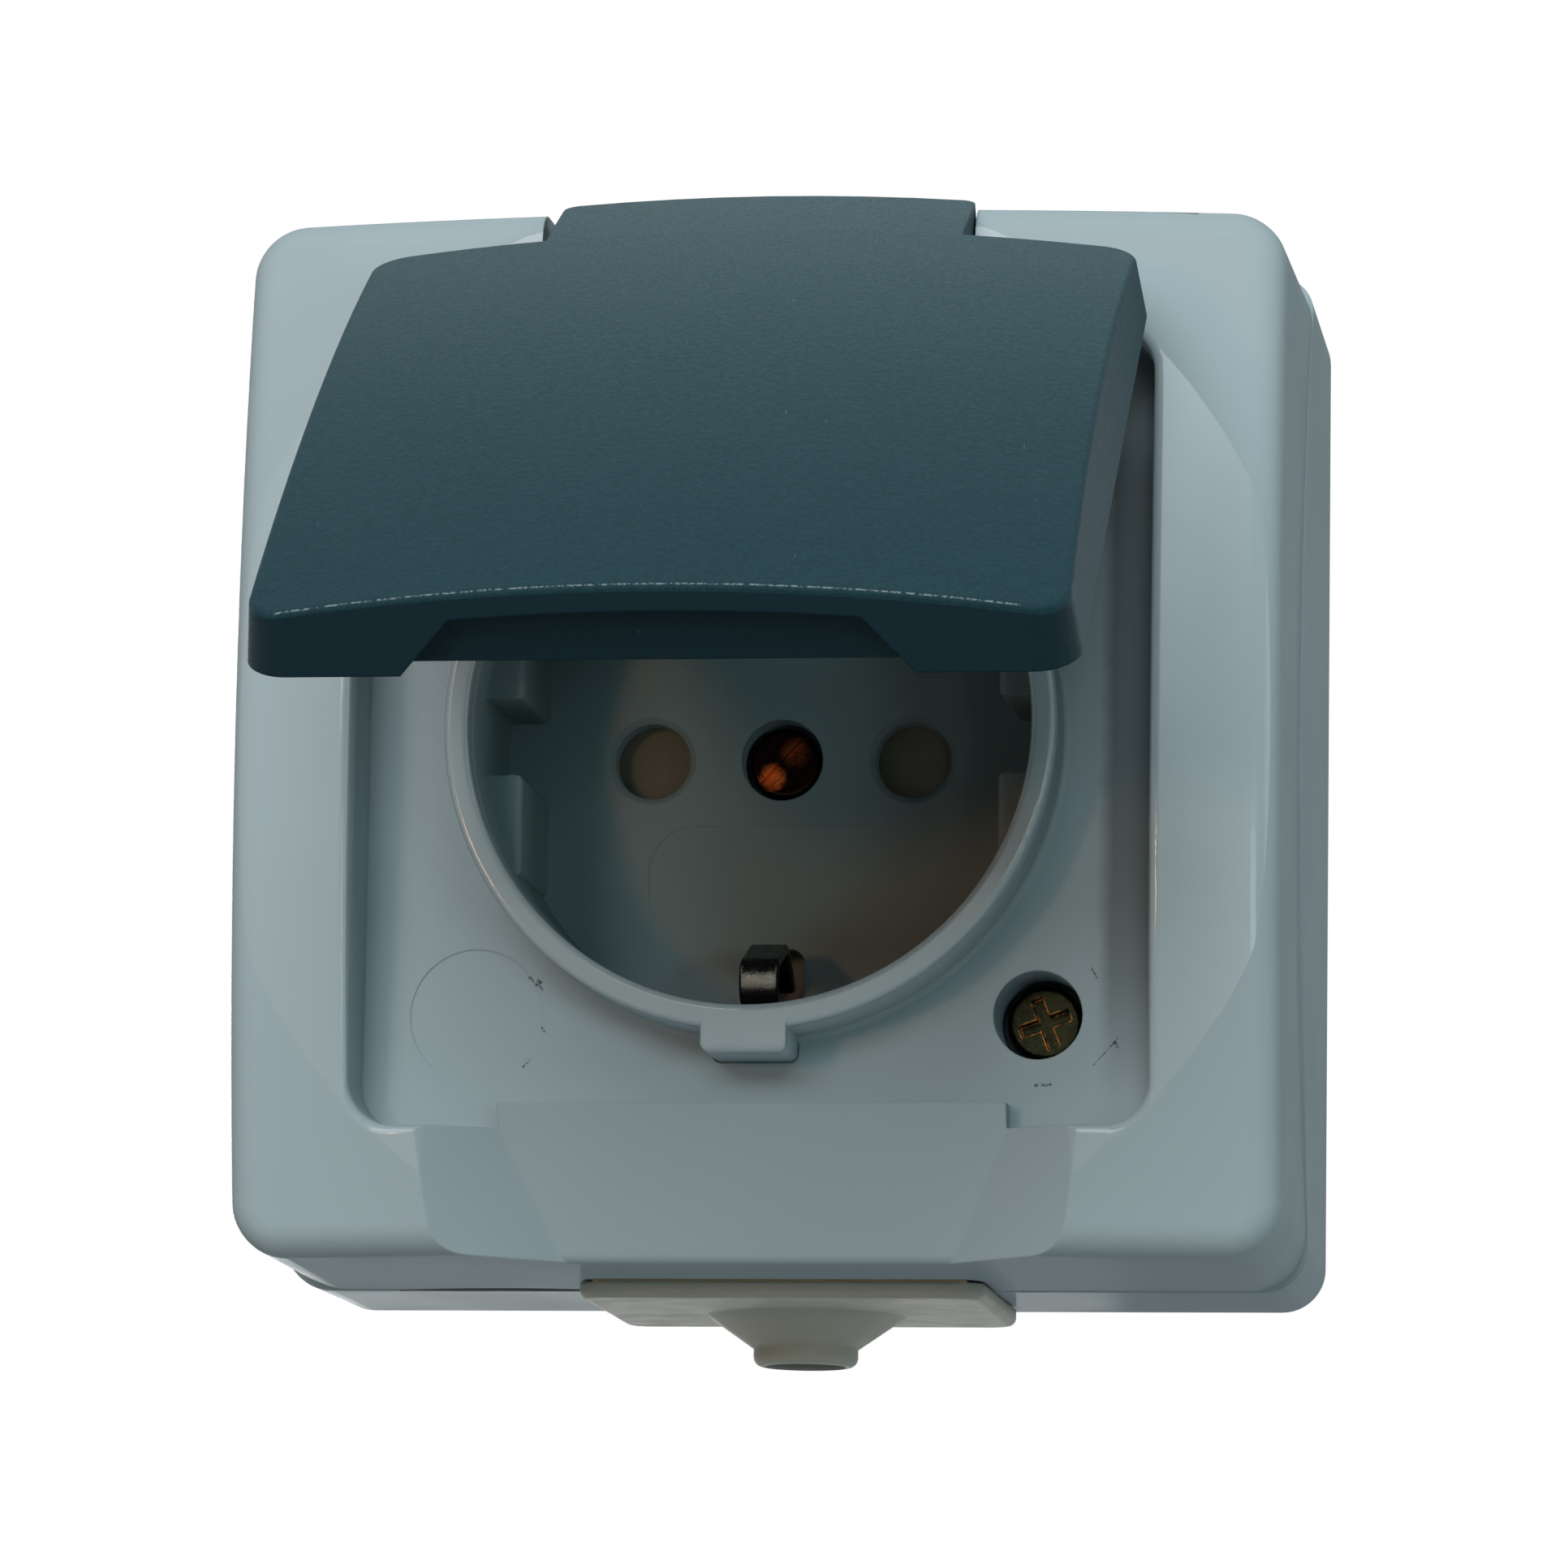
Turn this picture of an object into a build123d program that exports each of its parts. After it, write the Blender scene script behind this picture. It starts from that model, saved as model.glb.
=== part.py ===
from build123d import *
import math
import os

# Surface-mounted weatherproof socket outlet with a hinged lid. Sizes are in millimetres.
#
# Every piece is drawn lying on its back on the wall plane: X to the right, Y up the wall and Z
# out of the wall. The finished pieces are then stood up, so that the part's own frame has +Z up,
# the wall face at Y = 0 and the plug well facing -Y. "OUT" in a name is a distance from the wall.

# Housing, shared by the box and the cover
HOUSING = 74.4
COVER_FOOT_GROWTH = 0.5
BOX_BACK_GROWTH = 0.3
COVER_DRAFT = 0.5
BOX_DRAFT = 0.5
CORNER_R = 4.2
BOX_CORNER_R = 3.2
WALL = 2.0
FRONT_EDGE_R = 2.5
CROWN_R = 180.0
CROWN_OUT = 47.9
PARTING_MID_OUT = 27.3
PARTING_END_OUT = 17.3
PARTING_GAP = 0.12
WARP_X = -21.0
WARP = 1.3
WARP_LENGTH = 15.0

# Lid recess and plug well in the cover
RIM_OUT = 45.0
RECESS_FLOOR_OUT = 38.75
RECESS_FLOOR = 56.2
RECESS_R = 3.0
RECESS_DRAFT = 2.0
RECESS_EDGE_R = 0.6
WELL_R = 19.95
WELL_DEPTH = 17.5
WELL_FLOOR = 2.2
COLLAR_WALL = 1.75
COLLAR_EDGE_R = 0.45
LUG_WIDTH = 6.0
LUG_REACH = 1.6
LUG_EDGE_R = 0.6
WELL_FLANGE = 1.2
WELL_FLANGE_R = 23.0
WELL_FLANGE_GAP = 0.05
WELL_FIT = 0.05
GUIDE_HALF_GAP = 17.0
GUIDE_KEYWAY = 5.5
GUIDE_DEPTH = 6.0
GUIDE_HEIGHT = 20.0
GUIDE_EDGE_R = 0.5
PIN_SPACING = 19.0
PIN_HOLE_R = 2.75
PIN_HOLE_CHAMFER = 0.45
EARTH_SLOT_WIDTH = 3.6
EARTH_SLOT_IN = 13.8
OUTLINE_WIDTH = 19.2
OUTLINE_HEIGHT = 8.2
OUTLINE_Y = -8.9
OUTLINE_R = 3.4
DISC_XY = -20.0
DISC_R = 4.75
DISC_DEPTH = 0.05
OUTLINE_DEPTH = 0.04

# Finger scoop in the lower bar, with the sill at its inner end
SILL_TOP_Y = -26.4
SILL_OUT = 40.9
SILL_WIDTH = 36.1
SCOOP_END_OUT = 36.1
SCOOP_END_WIDTH = 27.8
SCOOP_FLARE_TOP = 1.34
SCOOP_FLARE_END = 1.23
SCOOP_EDGE_R = 1.0

# Hinge
HINGE_FROM_TOP = 3.7
HINGE_OUT = 41.9
HINGE_PIN_R = 1.0
HINGE_PIN_FIT = 0.02
HINGE_RUNNING_FIT = 0.06
HINGE_BARREL_R = 3.0
HINGE_NOTCH = 31.0
HINGE_NOTCH_FLOOR_OUT = 37.4
HINGE_EAR = 3.4
HINGE_NOTCH_WALL = 1.2
HINGE_PIN_SEAT = 2.9
TONGUE_GAP = 0.75
TONGUE_FROM_TOP = 1.1
TONGUE_CORNER_R = 1.0

# Lid, drawn closed
LID_OUT = 49.6
LID_WALL = 1.8
LID_DEPTH = 8.25
LID_GAP = 0.62
LID_BOTTOM_GAP = 0.46
LID_DRAFT = 7.0
LID_CORNER_R = 3.0
LID_EDGE_R = 0.4
LID_SHOULDER_GAP = 0.7
LID_TOP_WALL_GAP = 1.7
LID_SLIDE = 0.6
LID_OPEN_AT_REST = 52.5
POCKET_RIM_WIDTH = 33.9
POCKET_TOP_WIDTH = 22.4
POCKET_BACK_Y = -25.6
POCKET_WALL = 1.4

# Lid seal and its seat
SEAL_WIDTH = 2.4
SEAL_THICK = 1.3
SEAL_CLEARANCE = 0.1
SEAL_RIB = 0.6
SEAL_RIB_DEPTH = 0.7
SEAL_FIT = 0.05

# Box, with the joint that seals it to the cover
BOX_FLOOR = 2.2
LEDGE_OUT = 15.3
LEDGE_THICK = 1.4
LEDGE_WIDTH = 2.0
SPIGOT_WALL = 1.6
SPIGOT_CLEARANCE = 0.2
SPIGOT_JOIN_OUT = 29.5
SPIGOT_TOP_OUT = 32.0
LEAST_CORNER_R = 0.5
BOX_SEAL_THICK = 1.1
WALL_HOLE_SPACING = 56.0
WALL_HOLE_R = 2.25
WALL_HOLE_PAD_R = 5.0
WALL_HOLE_PAD = 1.0

# Screws that hold the cover to the box, on one diagonal
COVER_SCREW_XY = 20.0
COVER_SCREW_WELL_R = 3.15
COVER_SCREW_SEAT_OUT = 31.2
COVER_BOSS_END_OUT = 20.0
COVER_SCREW_HEAD_R = 2.75
COVER_SCREW_HEAD = 1.9
COVER_SCREW_R = 1.4
COVER_SCREW_REACH = 10.0
COVER_SCREW_FIT = 0.3
COVER_SCREW_SEAL = 1.0
BOSS_WALL = 1.6
POST_R = 3.6
POST_GAP = 0.2
THREAD_FIT = 0.05
SCREW_TIP_GAP = 1.0
SLOT_WIDTH = 0.3
SLOT_FLOOR = 0.4
CROSS_REACH = 0.68

# Carrier behind the well, and its screws on the other diagonal
CARRIER_WIDTH = 44.0
CARRIER_CORNER_R = 6.0
CARRIER_BACK_OUT = 10.0
CARRIER_FRONT_OUT = 23.4
CARRIER_SCREW_XY = 17.5
CARRIER_SCREW_R = 1.4
CARRIER_SCREW_HEAD_R = 2.6
CARRIER_SCREW_HEAD = 1.8
CARRIER_SCREW_REACH = 6.0
CARRIER_LUG_OUT = 15.0
CARRIER_POST_R = 3.2

# Centre screw and the boss that the shutter turns on
CENTRE_HOLE_R = 2.95
CENTRE_HEAD_R = 2.65
CENTRE_HEAD = 1.8
CENTRE_SEAT_OUT = 24.2
CENTRE_SCREW_R = 1.5
CENTRE_SCREW_REACH = 8.0
CENTRE_SCREW_FIT = 0.3
CENTRE_BOSS_R = 4.2
CENTRE_BOSS_OUT = 21.6

# Shutter and its spring
SHUTTER_THICK = 1.3
SHUTTER_FIT = 0.08
SHUTTER_GAP = 0.3
SHUTTER_HUB_R = 6.2
SHUTTER_REACH_R = 13.2
SHUTTER_COVER_ANGLE = 20.0
SPRING_COIL_R = 5.5
SPRING_WIRE = 0.5
SPRING_PITCH = 0.7
SPRING_TURNS = 2.5
SPRING_POCKET_R = 6.3
SPRING_POCKET_OUT = 20.6

# Contacts, earth bracket and terminals
STRIP = 0.8
LEAF_WIDTH = 5.0
LEAF_PINCH = 4.4
LEAF_ROOT_GAP = 5.4
LEAF_FLARE_GAP = 5.8
LEAF_PINCH_OUT = 19.2
LEAF_TOP_OUT = 21.6
LEAF_POCKET_MARGIN = 1.0
OVERSPRING_THICK = 0.4
OVERSPRING_GAP = 0.1
OVERSPRING_WIDTH = 3.2
OVERSPRING_FOOT_OUT = 12.0
OVERSPRING_TOP_OUT = 17.0
TERMINAL_SPACING = 11.0
TERMINAL_Y = -11.0
TERMINAL_PAD = 7.0
CLAMP_SIZE = 6.4
CLAMP_THICK = 1.0
TERMINAL_SCREW_R = 1.5
TERMINAL_HEAD_R = 2.6
TERMINAL_HEAD = 1.9
TERMINAL_REACH = 6.0
TERMINAL_FIT = 0.1
EARTH_WIDTH = 2.8
EARTH_EDGE_R = 0.3
EARTH_LEG_Y = 18.7
EARTH_TOP_OUT = 37.6
EARTH_BULGE_Y = 14.4
EARTH_BULGE_OUT = 32.5
EARTH_TIP_Y = 16.8
EARTH_TIP_OUT = 28.6
EARTH_BEND_R = 1.1
EARTH_SLOT_FIT = 0.3

# Cable grommet under the box
GROMMET_OUT = 10.4
GROMMET_BORE_R = 3.0
GROMMET_NECK_R = 4.6
GROMMET_NECK_FIT = 0.05
GROMMET_LIP_R = 5.8
GROMMET_LIP = 1.2
GROMMET_LIP_FIT = 0.1
GROMMET_FLANGE_WIDTH = 29.4
GROMMET_FLANGE_BACK_OUT = 1.5
GROMMET_FLANGE_FRONT_OUT = 25.5
GROMMET_FLANGE = 1.15
GROMMET_FLANGE_FIT = 0.05
GROMMET_FLANGE_R = 2.0
GROMMET_FRONT_R = 0.6
GROMMET_CONE_R = 7.3
GROMMET_CONE = 2.4
GROMMET_NOZZLE_R = 3.85
GROMMET_NOZZLE = 1.3
GROMMET_NOZZLE_EDGE_R = 0.7

# Worked out from the sizes above
HALF = HOUSING / 2
COVER_FOOT = HOUSING + COVER_FOOT_GROWTH
BOX_BACK = HOUSING + BOX_BACK_GROWTH
BOX_GROWTH = math.tan(math.radians(BOX_DRAFT))
HINGE_Y = HALF - HINGE_FROM_TOP
TONGUE_TOP_Y = HALF - TONGUE_FROM_TOP
HINGE_NOTCH_Y = RECESS_FLOOR / 2 - RECESS_R
PARTING_RISE = PARTING_MID_OUT - PARTING_END_OUT
PARTING_R = (HALF**2 + PARTING_RISE**2) / (2 * PARTING_RISE)
WARP_R = WARP_LENGTH**2 / (8 * WARP)
COLLAR_R = WELL_R + COLLAR_WALL
WELL_FLOOR_OUT = RIM_OUT - WELL_DEPTH
WELL_BACK_OUT = WELL_FLOOR_OUT - WELL_FLOOR
RECESS_GROWTH = math.tan(math.radians(RECESS_DRAFT))
LID_RIM_OUT = LID_OUT - LID_DEPTH
RECESS_AT_RIM = RECESS_FLOOR + 2 * (LID_RIM_OUT - RECESS_FLOOR_OUT) * RECESS_GROWTH
LID_WIDTH = RECESS_AT_RIM - 2 * LID_GAP
LID_BOTTOM_Y = LID_BOTTOM_GAP - RECESS_AT_RIM / 2
LID_SHOULDER_Y = RECESS_FLOOR / 2 - LID_SHOULDER_GAP
LID_TOP_WALL_Y = RECESS_FLOOR / 2 - LID_TOP_WALL_GAP
SEAL_SEAT_OUT = RIM_OUT + SEAL_CLEARANCE + SEAL_THICK
SPIGOT_OUTER = HOUSING - 2 * WALL - 2 * SPIGOT_CLEARANCE
SPIGOT_INNER = SPIGOT_OUTER - 2 * SPIGOT_WALL
SPIGOT_FOOT_OUT = LEDGE_OUT + BOX_SEAL_THICK
SEAL_R = WELL_R + COLLAR_WALL / 2
COVER_SCREW_PLACES = [(COVER_SCREW_XY, -COVER_SCREW_XY), (-COVER_SCREW_XY, COVER_SCREW_XY)]
CARRIER_SCREW_PLACES = [(-CARRIER_SCREW_XY, -CARRIER_SCREW_XY), (CARRIER_SCREW_XY, CARRIER_SCREW_XY)]
WALL_HOLE_PLACES = [(-WALL_HOLE_SPACING / 2, 0), (WALL_HOLE_SPACING / 2, 0)]
TERMINAL_PLACES = [(-TERMINAL_SPACING, TERMINAL_Y), (0, TERMINAL_Y), (TERMINAL_SPACING, TERMINAL_Y)]
COVER_BOSS_R = COVER_SCREW_WELL_R + BOSS_WALL
BEYOND = 5.0


def block(x0, x1, y0, y1, z0, z1):
    """A box between two corners."""
    return Pos((x0 + x1) / 2, (y0 + y1) / 2, (z0 + z1) / 2) * Box(x1 - x0, y1 - y0, z1 - z0)


def rod(x, y, z0, z1, radius):
    """A round bar standing on the wall plane."""
    standing = (Align.CENTER, Align.CENTER, Align.MIN)
    return Pos(x, y, z0) * Cylinder(radius, z1 - z0, align=standing)


def cross_rod(y, z, length, radius):
    """A round bar along X, centred on the middle of the part."""
    return Pos(0, y, z) * Rot(0, 90, 0) * Cylinder(radius, length)


def square_prism(width, radius, z0, z1):
    """A square bar with rounded corners, standing on the wall plane."""
    return Pos(0, 0, z0) * extrude(RectangleRounded(width, width, radius), z1 - z0)


def drafted_prism(width, radius, draft, z0, z1):
    """A rounded square bar whose sides lean in by the draft, or out where it is negative."""
    return extrude(Pos(0, 0, z0) * RectangleRounded(width, width, radius), z1 - z0, taper=draft)


def dome(crown_out, depth=0.0):
    """All that lies under the crowned front, or under a surface that deep below it."""
    return Pos(0, 0, crown_out - CROWN_R) * Rot(90, 0, 0) * Sphere(CROWN_R - depth)


def arch(gap=0.0):
    """All that lies behind the arched joint between box and cover."""
    return cross_rod(0, PARTING_MID_OUT - PARTING_R, 2 * HOUSING, PARTING_R + gap)


def square_ring(outer, inner, z0, z1):
    """A frame with square openings and rounded corners, concentric with the housing."""
    outer_r = max(CORNER_R - (HOUSING - outer) / 2, LEAST_CORNER_R)
    inner_r = max(CORNER_R - (HOUSING - inner) / 2, LEAST_CORNER_R)
    return square_prism(outer, outer_r, z0, z1) - square_prism(inner, inner_r, z0 - 1, z1 + 1)


def upright(y, *points):
    """A face across the part at height Y, from points given as (X, distance out)."""
    return Plane((0, y, 0), x_dir=(1, 0, 0), z_dir=(0, -1, 0)) * Polygon(*points, align=None)


def scoop(grow=0.0):
    """The finger scoop: a ramp that deepens towards the lower edge, with flared flanks."""
    top_out = CROWN_OUT + BEYOND
    run = HALF + SILL_TOP_Y
    bar_y = -RECESS_FLOOR / 2
    fall = (SILL_OUT - SCOOP_END_OUT) / run
    narrowing = (SILL_WIDTH - SCOOP_END_WIDTH) / (HALF + bar_y)
    end_y = -HALF - BEYOND
    sections = []
    for y, width, flare in (
        (SILL_TOP_Y, SILL_WIDTH, SCOOP_FLARE_TOP),
        (bar_y, SILL_WIDTH, SCOOP_FLARE_TOP),
        (end_y, SILL_WIDTH - narrowing * (bar_y - end_y), SCOOP_FLARE_END),
    ):
        foot = width / 2 + grow
        foot_out = SILL_OUT - fall * (SILL_TOP_Y - y) - grow
        top = foot + flare * (top_out - foot_out)
        sections.append(upright(y, (-foot, foot_out), (foot, foot_out), (top, top_out), (-top, top_out)))
    return loft(sections, ruled=True)


def make_front_cover():
    """Frame and lid recess, moulded in one piece with the spigot that enters the box."""
    foot_out = PARTING_END_OUT - WALL
    cover = drafted_prism(COVER_FOOT, CORNER_R, COVER_DRAFT, foot_out, CROWN_OUT) & dome(CROWN_OUT)
    cover = fillet(cover.faces().sort_by(Axis.Z)[-1].edges(), FRONT_EDGE_R)
    cover -= arch(PARTING_GAP)

    # The lower edge has warped and stands off the box over a short length.
    warp = Pos(WARP_X, -HALF, PARTING_END_OUT + PARTING_GAP + WARP - WARP_R)
    cover -= warp * Rot(90, 0, 0) * Cylinder(WARP_R, 2 * WALL)

    # The lid recess leans out towards its rounded front edge.
    pocket = extrude(
        Pos(0, 0, RECESS_FLOOR_OUT) * RectangleRounded(RECESS_FLOOR, RECESS_FLOOR, RECESS_R),
        CROWN_OUT + BEYOND - RECESS_FLOOR_OUT,
        taper=-RECESS_DRAFT,
    )
    cover -= pocket
    crown = cover.faces().filter_by(GeomType.SPHERE).sort_by(SortBy.AREA)[-1]
    cover = fillet(crown.inner_wires()[0].edges(), RECESS_EDGE_R)

    # The inside is hollow apart from the recess tub, the hinge ears and the screw bosses.
    inner = HOUSING - 2 * WALL
    hollow = square_prism(inner, LEAST_CORNER_R, 0, CROWN_OUT) & dome(CROWN_OUT, WALL)
    front_grow = (CROWN_OUT - RECESS_FLOOR_OUT) * RECESS_GROWTH
    tub_width = RECESS_FLOOR + 2 * front_grow + 2 * WALL
    hollow -= square_prism(tub_width, RECESS_R + WALL, RECESS_FLOOR_OUT - WALL, CROWN_OUT)
    ear_end = HINGE_NOTCH / 2 + HINGE_EAR
    ear_y = HINGE_NOTCH_Y - HINGE_NOTCH_WALL
    hollow -= block(-ear_end, ear_end, ear_y, HALF, HINGE_NOTCH_FLOOR_OUT - WALL, CROWN_OUT)
    for x, y in COVER_SCREW_PLACES:
        hollow -= rod(x, y, COVER_BOSS_END_OUT, CROWN_OUT, COVER_BOSS_R)
    hollow -= scoop(WALL)
    cover -= hollow

    # The finger scoop runs from the sill inside the recess down through the lower bar.
    sill_half = SILL_WIDTH / 2
    cover += block(-sill_half, sill_half, -HALF + WALL, SILL_TOP_Y, RECESS_FLOOR_OUT - WALL, SILL_OUT)
    cover -= scoop()
    ramp_edge = cover.edges().filter_by(Axis.X).sort_by_distance((0, -HALF, SCOOP_END_OUT))[0]
    cover = fillet(ramp_edge, SCOOP_EDGE_R)

    # The collar of the well comes up through a keyed hole in the recess floor.
    cover -= rod(0, 0, RECESS_FLOOR_OUT - WALL, RECESS_FLOOR_OUT, COLLAR_R + WELL_FIT)
    key_half = LUG_WIDTH / 2 + WELL_FIT
    key_y = -COLLAR_R - LUG_REACH - WELL_FIT
    key = block(-key_half, key_half, key_y, 0, RECESS_FLOOR_OUT - WALL, RECESS_FLOOR_OUT)
    cover -= fillet(key.edges().filter_by(Axis.Z).group_by(Axis.Y)[0], LUG_EDGE_R)

    # Sunk cover screws on one diagonal, and a shallow disc on the other
    for x, y in COVER_SCREW_PLACES:
        cover -= rod(x, y, COVER_SCREW_SEAT_OUT, RECESS_FLOOR_OUT, COVER_SCREW_WELL_R)
        cover -= rod(x, y, COVER_BOSS_END_OUT, COVER_SCREW_SEAT_OUT, COVER_SCREW_R + COVER_SCREW_FIT)
    cover -= rod(DISC_XY, DISC_XY, RECESS_FLOOR_OUT - DISC_DEPTH, RECESS_FLOOR_OUT, DISC_R)

    # Hinge: the lid's tongue turns in a notch in the top bar, on a pin held by the notch's ends.
    notch = HINGE_NOTCH / 2
    cover -= block(-notch, notch, HINGE_NOTCH_Y, HOUSING, HINGE_NOTCH_FLOOR_OUT, CROWN_OUT)
    pin_length = HINGE_NOTCH + 2 * HINGE_PIN_SEAT
    cover -= cross_rod(HINGE_Y, HINGE_OUT, pin_length, HINGE_PIN_R + HINGE_PIN_FIT)

    # The spigot enters the box and closes on the seal.
    cover += square_ring(SPIGOT_OUTER, SPIGOT_INNER, SPIGOT_FOOT_OUT, SPIGOT_TOP_OUT)
    cover += square_ring(inner + WALL, SPIGOT_INNER, SPIGOT_JOIN_OUT, SPIGOT_TOP_OUT)
    return cover


def make_well_insert():
    """Plug well with its collar, keyed by a lug and held between the cover and the carrier."""
    well = rod(0, 0, WELL_BACK_OUT, RIM_OUT, COLLAR_R) - rod(0, 0, WELL_FLOOR_OUT, RIM_OUT, WELL_R)
    rim = well.faces().filter_by(Plane.XY).sort_by(Axis.Z)[-1]
    well = fillet(rim.edges(), COLLAR_EDGE_R)
    in_wall = WELL_R + COLLAR_WALL / 2
    flange_top = RECESS_FLOOR_OUT - WALL - WELL_FLANGE_GAP
    flange = rod(0, 0, flange_top - WELL_FLANGE, flange_top, WELL_FLANGE_R)
    lug_y = -COLLAR_R - LUG_REACH
    lug = block(-LUG_WIDTH / 2, LUG_WIDTH / 2, lug_y, -in_wall, flange_top, RIM_OUT)
    lug = fillet(lug.faces().sort_by(Axis.Y)[0].edges().sort_by(Axis.Z)[1:], LUG_EDGE_R)
    well += flange - rod(0, 0, 0, CROWN_OUT, in_wall) + lug

    # Guides at both sides of the well steer the plug's flats.
    for side in (-1, 1):
        for end in (-1, 1):
            x0, x1 = sorted((side * GUIDE_HALF_GAP, side * COLLAR_R))
            y0, y1 = sorted((end * GUIDE_KEYWAY / 2, end * GUIDE_HEIGHT / 2))
            guide = block(x0, x1, y0, y1, WELL_BACK_OUT, RIM_OUT - GUIDE_DEPTH)
            inner_face = guide.faces().sort_by(Axis.X)[0 if side > 0 else -1]
            guide = fillet(inner_face.edges(), GUIDE_EDGE_R)
            well += guide & rod(0, 0, WELL_BACK_OUT, RIM_OUT, in_wall)
    well += rod(0, 0, CENTRE_BOSS_OUT, WELL_FLOOR_OUT, CENTRE_BOSS_R)

    # Openings in the floor of the well
    for x in (-PIN_SPACING / 2, PIN_SPACING / 2):
        well -= rod(x, 0, WELL_BACK_OUT, WELL_FLOOR_OUT, PIN_HOLE_R)
        mouth = Cone(PIN_HOLE_R, PIN_HOLE_R + 2 * PIN_HOLE_CHAMFER, 2 * PIN_HOLE_CHAMFER)
        well -= Pos(x, 0, WELL_FLOOR_OUT) * mouth
    well -= rod(0, 0, CENTRE_SEAT_OUT, WELL_FLOOR_OUT, CENTRE_HOLE_R)
    well -= rod(0, 0, CENTRE_BOSS_OUT, CENTRE_SEAT_OUT, CENTRE_SCREW_R + CENTRE_SCREW_FIT)
    slot_end = WELL_R - EARTH_SLOT_FIT
    slot_shape = RectangleRounded(EARTH_SLOT_WIDTH, slot_end - EARTH_SLOT_IN, EARTH_SLOT_WIDTH / 4)
    for side in (-1, 1):
        middle = side * (EARTH_SLOT_IN + slot_end) / 2
        well -= Pos(0, middle, WELL_BACK_OUT) * extrude(slot_shape, WELL_FLOOR)
    outline = RectangleRounded(OUTLINE_WIDTH, OUTLINE_HEIGHT, OUTLINE_R)
    return well - Pos(0, OUTLINE_Y, WELL_FLOOR_OUT - OUTLINE_DEPTH) * extrude(outline, OUTLINE_DEPTH)


def make_rear_box():
    """Wall box with its fixing holes, screw posts, seal ledge and cable opening."""
    box = drafted_prism(BOX_BACK, BOX_CORNER_R, -BOX_DRAFT, 0, CROWN_OUT) & arch()
    inner = HOUSING - 2 * WALL
    box -= square_prism(inner, LEAST_CORNER_R, BOX_FLOOR, CROWN_OUT)
    box += square_ring(inner + WALL, inner - 2 * LEDGE_WIDTH, LEDGE_OUT - LEDGE_THICK, LEDGE_OUT)
    for x, y in COVER_SCREW_PLACES:
        top = COVER_BOSS_END_OUT - POST_GAP
        box += rod(x, y, 0, top, POST_R)
        box -= rod(x, y, top - COVER_SCREW_REACH, top, COVER_SCREW_R + THREAD_FIT)
    for x, y in CARRIER_SCREW_PLACES:
        box += rod(x, y, 0, CARRIER_BACK_OUT, CARRIER_POST_R)
        box -= rod(x, y, BOX_FLOOR, CARRIER_BACK_OUT, CARRIER_SCREW_R + THREAD_FIT)
    for x, y in WALL_HOLE_PLACES:
        box += rod(x, y, 0, BOX_FLOOR + WALL_HOLE_PAD, WALL_HOLE_PAD_R)
        box -= rod(x, y, 0, BOX_FLOOR + WALL_HOLE_PAD, WALL_HOLE_R)
    entry = Pos(0, -HALF, GROMMET_OUT) * Rot(90, 0, 0) * Cylinder(GROMMET_NECK_R, 2 * WALL)
    return box - entry


def make_cable_grommet():
    """Soft cable entry: inner lip, neck, flange, cone and nozzle, moulded in one piece."""
    flange_width = GROMMET_FLANGE_WIDTH
    back = GROMMET_FLANGE_BACK_OUT
    front = GROMMET_FLANGE_FRONT_OUT
    face_y = -BOX_BACK / 2 - PARTING_END_OUT * BOX_GROWTH - GROMMET_FLANGE_FIT
    flange = block(-flange_width / 2, flange_width / 2, face_y - GROMMET_FLANGE, face_y, back, front)
    flange = fillet(flange.edges().filter_by(Axis.Y), GROMMET_FLANGE_R)
    lower_front = flange.faces().sort_by(Axis.Y)[0].edges().sort_by(Axis.Z)[-1]
    flange = fillet(lower_front, GROMMET_FRONT_R)

    neck_r = GROMMET_NECK_R - GROMMET_NECK_FIT
    inner_y = -HALF + WALL
    lip_y = inner_y + GROMMET_LIP
    cone_y = face_y - GROMMET_FLANGE - GROMMET_CONE
    end_y = cone_y - GROMMET_NOZZLE
    profile = Polyline(
        (0, lip_y),
        (neck_r, lip_y),
        (GROMMET_LIP_R, inner_y),
        (neck_r, inner_y),
        (neck_r, face_y - GROMMET_FLANGE / 2),
        (GROMMET_CONE_R, face_y - GROMMET_FLANGE),
        (GROMMET_NOZZLE_R, cone_y),
        (GROMMET_NOZZLE_R, end_y),
        (0, end_y),
        close=True,
    )
    turned = Pos(0, 0, GROMMET_OUT) * revolve(make_face(profile), Axis.Y)
    bore = Pos(0, 0, GROMMET_OUT) * Rot(90, 0, 0) * Cylinder(GROMMET_BORE_R, 4 * HALF)

    # A flat on the lip lies under the seal ledge, so that the grommet cannot turn.
    flat_out = LEDGE_OUT - LEDGE_THICK - GROMMET_LIP_FIT
    turned -= block(-HALF, HALF, inner_y, 0, flat_out, CROWN_OUT)
    nozzle_end = turned.edges().filter_by(GeomType.CIRCLE).sort_by(Axis.Y)[0]
    turned = fillet(nozzle_end, GROMMET_NOZZLE_EDGE_R)
    return flange + turned - bore


def make_box_seal():
    """Soft frame between the box's ledge and the cover's spigot."""
    return square_ring(SPIGOT_OUTER, SPIGOT_INNER, LEDGE_OUT, SPIGOT_FOOT_OUT)


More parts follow.
